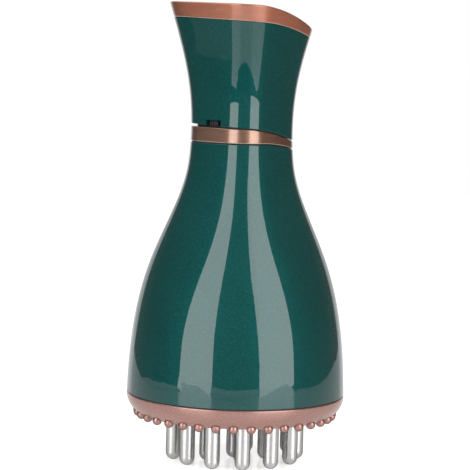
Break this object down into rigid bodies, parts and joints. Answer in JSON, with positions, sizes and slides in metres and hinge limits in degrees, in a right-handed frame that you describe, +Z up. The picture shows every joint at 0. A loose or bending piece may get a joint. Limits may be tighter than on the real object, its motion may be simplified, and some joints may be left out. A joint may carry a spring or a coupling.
{
  "type": "electric massage brush",
  "caption": "Vase-shaped hand-held massage brush with round-tipped steel pins under a beaded ring, a wedge-shaped neck ring and a slanted rim around a button panel.",
  "frame": {"origin": "on the body's axis, in the plane of the pin tips that the brush stands on", "axes": "+Z up along the body's axis, +X towards the low side of the slanted rim, +Y towards the side with the charging inlet"},
  "size_m": [0.0884, 0.0884, 0.1844],
  "materials": {
    "green_shell": "deep green lacquer with a fine metallic fleck, high gloss",
    "rose_gold": "rose-gold anodised, brushed around",
    "rose_satin": "satin rose metallic paint",
    "pin_steel": "polished stainless steel",
    "black_plastic": "moulded, fine texture",
    "panel_black": "piano black",
    "button_rose": "spun rose-gold face",
    "button_grey": "satin grey with a pale symbol",
    "clear_lens": "clear moulded lens",
    "seal_rubber": "silicone seal",
    "chassis_grey": "glass-filled moulding",
    "steel_parts": "plated steel",
    "aluminium_plate": "rolled sheet",
    "heater_amber": "amber film with printed tracks",
    "felt_ivory": "pressed felt",
    "brass_parts": "turned and stamped",
    "board_green": "circuit board with solder mask",
    "chip_black": "moulded components",
    "led_white": "small lights",
    "cell_wrap": "shrink sleeve",
    "wire_red": "insulated lead",
    "wire_blue": "insulated lead",
    "wire_white": "insulated lead",
    "wire_yellow": "insulated lead"
  },
  "bodies": {
    "brush": {"lower_shell": "green_shell", "neck_ring": "rose_gold", "upper_shell": "green_shell", "top_rim": "rose_gold", "base_ring": "rose_satin", "seam_gasket": "seal_rubber", "contact_pins": "pin_steel", "pin_plate": "rose_satin", "heater_plate": "aluminium_plate", "heater_film": "heater_amber", "thermistor": "chip_black", "insulator_disc": "felt_ivory", "neck_core": "black_plastic", "slide_switch": "steel_parts", "control_panel": "panel_black", "display_lens": "clear_lens", "control_board": "board_green", "tactile_switches": "chip_black", "display_leds": "led_white", "panel_screws": "steel_parts", "chassis": "chassis_grey", "base_screws": "steel_parts", "core_screws": "steel_parts", "motor_can": "steel_parts", "motor_bracket": "steel_parts", "motor_screws": "steel_parts", "motor_bush": "brass_parts", "battery_cell": "cell_wrap", "battery_cradle": "black_plastic", "battery_terminals": "brass_parts", "driver_board": "board_green", "board_parts": "chip_black", "board_screws": "steel_parts", "charge_socket": "steel_parts", "motor_leads": "wire_red", "battery_leads": "wire_blue", "heater_leads": "wire_white", "panel_leads": "wire_yellow"},
    "power": {"power_button": "button_rose"},
    "plus": {"plus_button": "button_grey"},
    "minus": {"minus_button": "button_grey"},
    "heat": {"heat_button": "button_grey"},
    "knob": {"slide_knob": "black_plastic"},
    "rotor": {"motor_shaft": "steel_parts", "eccentric_weight": "brass_parts"}
  },
  "joints": [
    {"name": "power_press", "type": "slide", "parent": "brush", "child": "power", "axis": [-0.031, 0, -0.9995], "range_m": [0, 0.0006], "stiffness_N_per_m": 1500},
    {"name": "plus_press", "type": "slide", "parent": "brush", "child": "plus", "axis": [-0.031, 0, -0.9995], "range_m": [0, 0.0006], "stiffness_N_per_m": 1500},
    {"name": "minus_press", "type": "slide", "parent": "brush", "child": "minus", "axis": [-0.031, 0, -0.9995], "range_m": [0, 0.0006], "stiffness_N_per_m": 1500},
    {"name": "heat_press", "type": "slide", "parent": "brush", "child": "heat", "axis": [-0.031, 0, -0.9995], "range_m": [0, 0.0006], "stiffness_N_per_m": 1500},
    {"name": "knob_slide", "type": "slide", "parent": "brush", "child": "knob", "axis": [0.7071, -0.7071, 0], "range_m": [-0.0015, 0.0015]},
    {"name": "motor_spin", "type": "hinge", "parent": "brush", "child": "rotor", "pos_m": [0, 0, 0.045], "axis": [0, 0, 1], "continuous": true}
  ]
}
